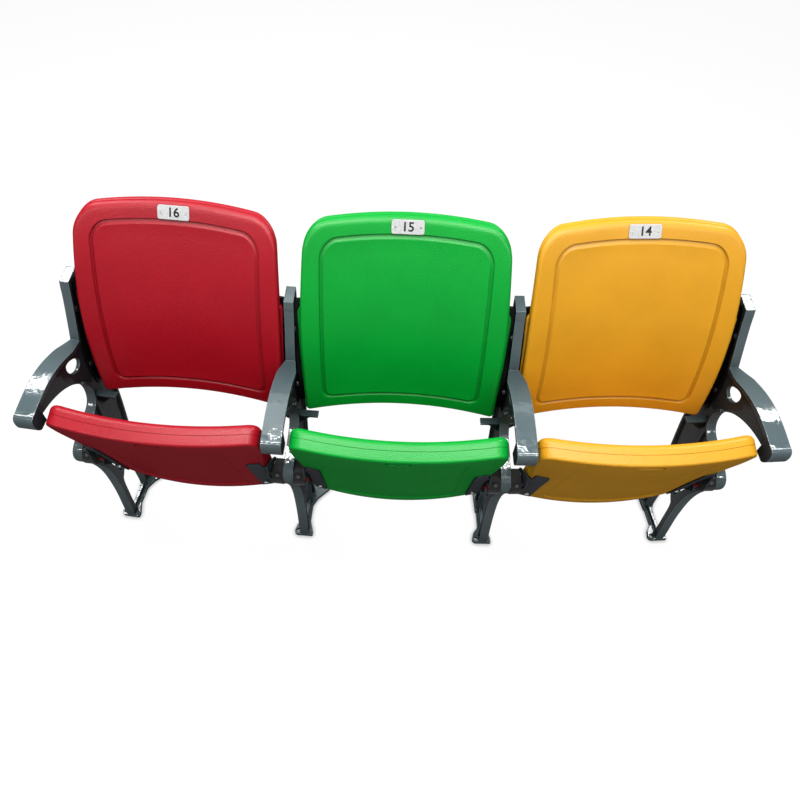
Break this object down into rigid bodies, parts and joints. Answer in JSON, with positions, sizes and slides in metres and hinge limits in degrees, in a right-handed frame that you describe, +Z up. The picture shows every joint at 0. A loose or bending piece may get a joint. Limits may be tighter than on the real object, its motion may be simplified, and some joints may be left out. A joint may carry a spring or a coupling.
{
  "type": "stadium seat row",
  "caption": "Row of tip-up stadium seats on cast floor standards with armrests; each seat swings up on its own pivots.",
  "frame": {"origin": "middle of the footprint, on the floor", "axes": "+X to the right as seen from in front of the seats, +Y to the rear, +Z up"},
  "size_m": [1.5054, 0.432, 0.8823],
  "materials": {
    "cast_grey": "gloss paint over die casting",
    "black_steel": "satin black powder coat",
    "dark_steel": "satin dark grey coat",
    "bright_steel": "zinc plated",
    "black_nylon": "moulded",
    "red_rubber": "matt",
    "plate_white": "satin with plain black numerals",
    "plastic_left": "fine pebble grain, blow moulded",
    "plastic_middle": "fine pebble grain, blow moulded",
    "plastic_right": "fine pebble grain, blow moulded"
  },
  "bodies": {
    "frame": {"standard_left_end": "cast_grey", "bracket_bolts_left_end": "bright_steel", "standard_left_middle": "cast_grey", "bracket_bolts_left_middle": "bright_steel", "standard_right_middle": "cast_grey", "bracket_bolts_right_middle": "bright_steel", "standard_right_end": "cast_grey", "bracket_bolts_right_end": "bright_steel", "left_back_panel": "plastic_left", "left_number_plate": "plate_white", "left_plate_rivets": "bright_steel", "left_back_screws": "bright_steel", "left_housing_bolts": "bright_steel", "left_pivot_bolt_left": "bright_steel", "left_pivot_housing_left": "black_nylon", "left_stop_pad_left": "red_rubber", "left_back_bracket_left": "black_steel", "left_pivot_bolt_right": "bright_steel", "left_pivot_housing_right": "black_nylon", "left_stop_pad_right": "red_rubber", "left_back_bracket_right": "black_steel", "middle_back_panel": "plastic_middle", "middle_number_plate": "plate_white", "middle_plate_rivets": "bright_steel", "middle_back_screws": "bright_steel", "middle_housing_bolts": "bright_steel", "middle_pivot_bolt_left": "bright_steel", "middle_pivot_housing_left": "black_nylon", "middle_stop_pad_left": "red_rubber", "middle_back_bracket_left": "black_steel", "middle_pivot_bolt_right": "bright_steel", "middle_pivot_housing_right": "black_nylon", "middle_stop_pad_right": "red_rubber", "middle_back_bracket_right": "black_steel", "right_back_panel": "plastic_right", "right_number_plate": "plate_white", "right_plate_rivets": "bright_steel", "right_back_screws": "bright_steel", "right_housing_bolts": "bright_steel", "right_pivot_bolt_left": "bright_steel", "right_pivot_housing_left": "black_nylon", "right_stop_pad_left": "red_rubber", "right_back_bracket_left": "black_steel", "right_pivot_bolt_right": "bright_steel", "right_pivot_housing_right": "black_nylon", "right_stop_pad_right": "red_rubber", "right_back_bracket_right": "black_steel"},
    "seat_left": {"left_seat_pan": "plastic_left", "left_hinge_screws": "bright_steel", "left_hinge_plate_left": "dark_steel", "left_hinge_plate_right": "dark_steel"},
    "seat_middle": {"middle_seat_pan": "plastic_middle", "middle_hinge_screws": "bright_steel", "middle_hinge_plate_left": "dark_steel", "middle_hinge_plate_right": "dark_steel"},
    "seat_right": {"right_seat_pan": "plastic_right", "right_hinge_screws": "bright_steel", "right_hinge_plate_left": "dark_steel", "right_hinge_plate_right": "dark_steel"}
  },
  "joints": [
    {"name": "seat_left_tip", "type": "hinge", "parent": "frame", "child": "seat_left", "pos_m": [-0.48374, -0.08893, 0.375], "axis": [0.9977, -0.0674, 0], "range_deg": [0, 68], "stiffness_Nm_per_rad": 6, "springref_deg": -51.57},
    {"name": "seat_middle_tip", "type": "hinge", "parent": "frame", "child": "seat_middle", "pos_m": [-0.0041, -0.1051, 0.375], "axis": [1, 0, 0], "range_deg": [0, 68], "stiffness_Nm_per_rad": 6, "springref_deg": -51.57},
    {"name": "seat_right_tip", "type": "hinge", "parent": "frame", "child": "seat_right", "pos_m": [0.47553, -0.08893, 0.375], "axis": [0.9977, 0.0674, 0], "range_deg": [0, 68], "stiffness_Nm_per_rad": 6, "springref_deg": -51.57}
  ]
}
